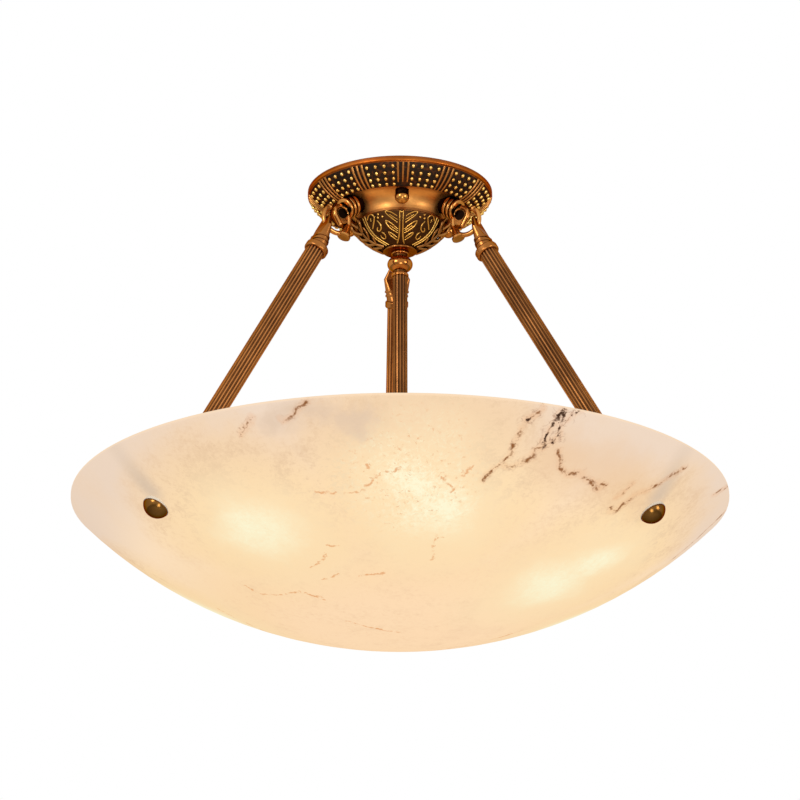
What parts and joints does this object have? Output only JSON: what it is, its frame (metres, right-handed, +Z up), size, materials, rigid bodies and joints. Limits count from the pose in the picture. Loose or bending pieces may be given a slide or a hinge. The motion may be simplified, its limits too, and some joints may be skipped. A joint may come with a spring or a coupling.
{
  "type": "ceiling light",
  "caption": "Semi-flush ceiling light: a shallow alabaster bowl lit from inside, hung on fluted antique brass arms from a round brass canopy with bead and leaf ornament.",
  "frame": {"origin": "middle of the ceiling plate, on the ceiling, between the two ceiling screws", "axes": "+Z up into the ceiling, the light hangs towards -Z; -Y is the front, +X the right"},
  "size_m": [0.6, 0.6, 0.4343],
  "materials": {
    "antique_brass": "antique, dark in the hollows",
    "alabaster": "polished stone with brown veins",
    "bulb": "frosted",
    "porcelain": "glazed",
    "zinc_steel": "zinc plated",
    "block_plastic": "matte",
    "cable_sheath": "matte",
    "rubber": "matte",
    "clear_plastic": "clear"
  },
  "bodies": {
    "frame": {"arm_end_left": "antique_brass", "arm_end_rear": "antique_brass", "arm_end_right": "antique_brass", "arm_foot_left": "antique_brass", "arm_foot_rear": "antique_brass", "arm_foot_right": "antique_brass", "arm_tube_left": "antique_brass", "arm_tube_rear": "antique_brass", "arm_tube_right": "antique_brass", "bowl": "alabaster", "canopy_band": "antique_brass", "canopy_cup": "antique_brass", "canopy_pan": "antique_brass", "canopy_screws": "zinc_steel", "cap_washers": "antique_brass", "cup_flange": "antique_brass", "earth_screw": "zinc_steel", "hook_left": "antique_brass", "hook_nuts": "zinc_steel", "hook_rear": "antique_brass", "hook_right": "antique_brass", "hub_cover": "antique_brass", "hub_nipple": "zinc_steel", "hub_nut": "zinc_steel", "inner_gaskets": "rubber", "lamp_arms": "antique_brass", "lamp_cable": "cable_sheath", "lamp_holders": "porcelain", "lamp_hub": "antique_brass", "lamp_leads": "cable_sheath", "mounting_plate": "zinc_steel", "neck_ball": "antique_brass", "nipple": "zinc_steel", "nipple_nut": "zinc_steel", "nipple_washer": "zinc_steel", "outer_washers": "clear_plastic", "plate_studs": "zinc_steel", "stem_collar": "antique_brass", "stem_tube": "antique_brass", "stud_nuts": "zinc_steel", "terminal_block": "block_plastic", "terminal_screws": "zinc_steel", "wire_splice": "block_plastic"},
    "cap_nut_front": {"cap_nut_front": "antique_brass"},
    "cap_nut_right": {"cap_nut_right": "antique_brass"},
    "cap_nut_left": {"cap_nut_left": "antique_brass"},
    "bowl_knob_right": {"bowl_knob_right": "antique_brass"},
    "bowl_knob_rear": {"bowl_knob_rear": "antique_brass"},
    "bowl_knob_left": {"bowl_knob_left": "antique_brass"},
    "bulb_1": {"bulb_1": "bulb"},
    "bulb_2": {"bulb_2": "bulb"},
    "bulb_3": {"bulb_3": "bulb"},
    "bulb_4": {"bulb_4": "bulb"},
    "bulb_5": {"bulb_5": "bulb"},
    "bulb_6": {"bulb_6": "bulb"}
  },
  "joints": [
    {"name": "cap_nut_front_turn", "type": "hinge", "parent": "frame", "child": "cap_nut_front", "pos_m": [0, -0.0545, -0.0205], "axis": [0, 0, 1], "continuous": true},
    {"name": "cap_nut_right_turn", "type": "hinge", "parent": "frame", "child": "cap_nut_right", "pos_m": [0.0472, 0.02725, -0.0205], "axis": [0, 0, 1], "continuous": true},
    {"name": "cap_nut_left_turn", "type": "hinge", "parent": "frame", "child": "cap_nut_left", "pos_m": [-0.0472, 0.02725, -0.0205], "axis": [0, 0, 1], "continuous": true},
    {"name": "bowl_knob_right_turn", "type": "hinge", "parent": "frame", "child": "bowl_knob_right", "pos_m": [0.21651, -0.125, -0.35412], "axis": [0.4311, -0.2489, -0.8673], "continuous": true},
    {"name": "bowl_knob_rear_turn", "type": "hinge", "parent": "frame", "child": "bowl_knob_rear", "pos_m": [0, 0.25, -0.35412], "axis": [0, 0.4978, -0.8673], "continuous": true},
    {"name": "bowl_knob_left_turn", "type": "hinge", "parent": "frame", "child": "bowl_knob_left", "pos_m": [-0.21651, -0.125, -0.35412], "axis": [-0.4311, -0.2489, -0.8673], "continuous": true},
    {"name": "bulb_1_turn", "type": "hinge", "parent": "frame", "child": "bulb_1", "pos_m": [0, 0, -0.294], "axis": [0, -0.9563, -0.2924], "continuous": true},
    {"name": "bulb_2_turn", "type": "hinge", "parent": "frame", "child": "bulb_2", "pos_m": [0, 0, -0.294], "axis": [0.8282, -0.4782, -0.2924], "continuous": true},
    {"name": "bulb_3_turn", "type": "hinge", "parent": "frame", "child": "bulb_3", "pos_m": [0, 0, -0.294], "axis": [0.8282, 0.4782, -0.2924], "continuous": true},
    {"name": "bulb_4_turn", "type": "hinge", "parent": "frame", "child": "bulb_4", "pos_m": [0, 0, -0.294], "axis": [0, 0.9563, -0.2924], "continuous": true},
    {"name": "bulb_5_turn", "type": "hinge", "parent": "frame", "child": "bulb_5", "pos_m": [0, 0, -0.294], "axis": [-0.8282, 0.4782, -0.2924], "continuous": true},
    {"name": "bulb_6_turn", "type": "hinge", "parent": "frame", "child": "bulb_6", "pos_m": [0, 0, -0.294], "axis": [-0.8282, -0.4782, -0.2924], "continuous": true}
  ]
}
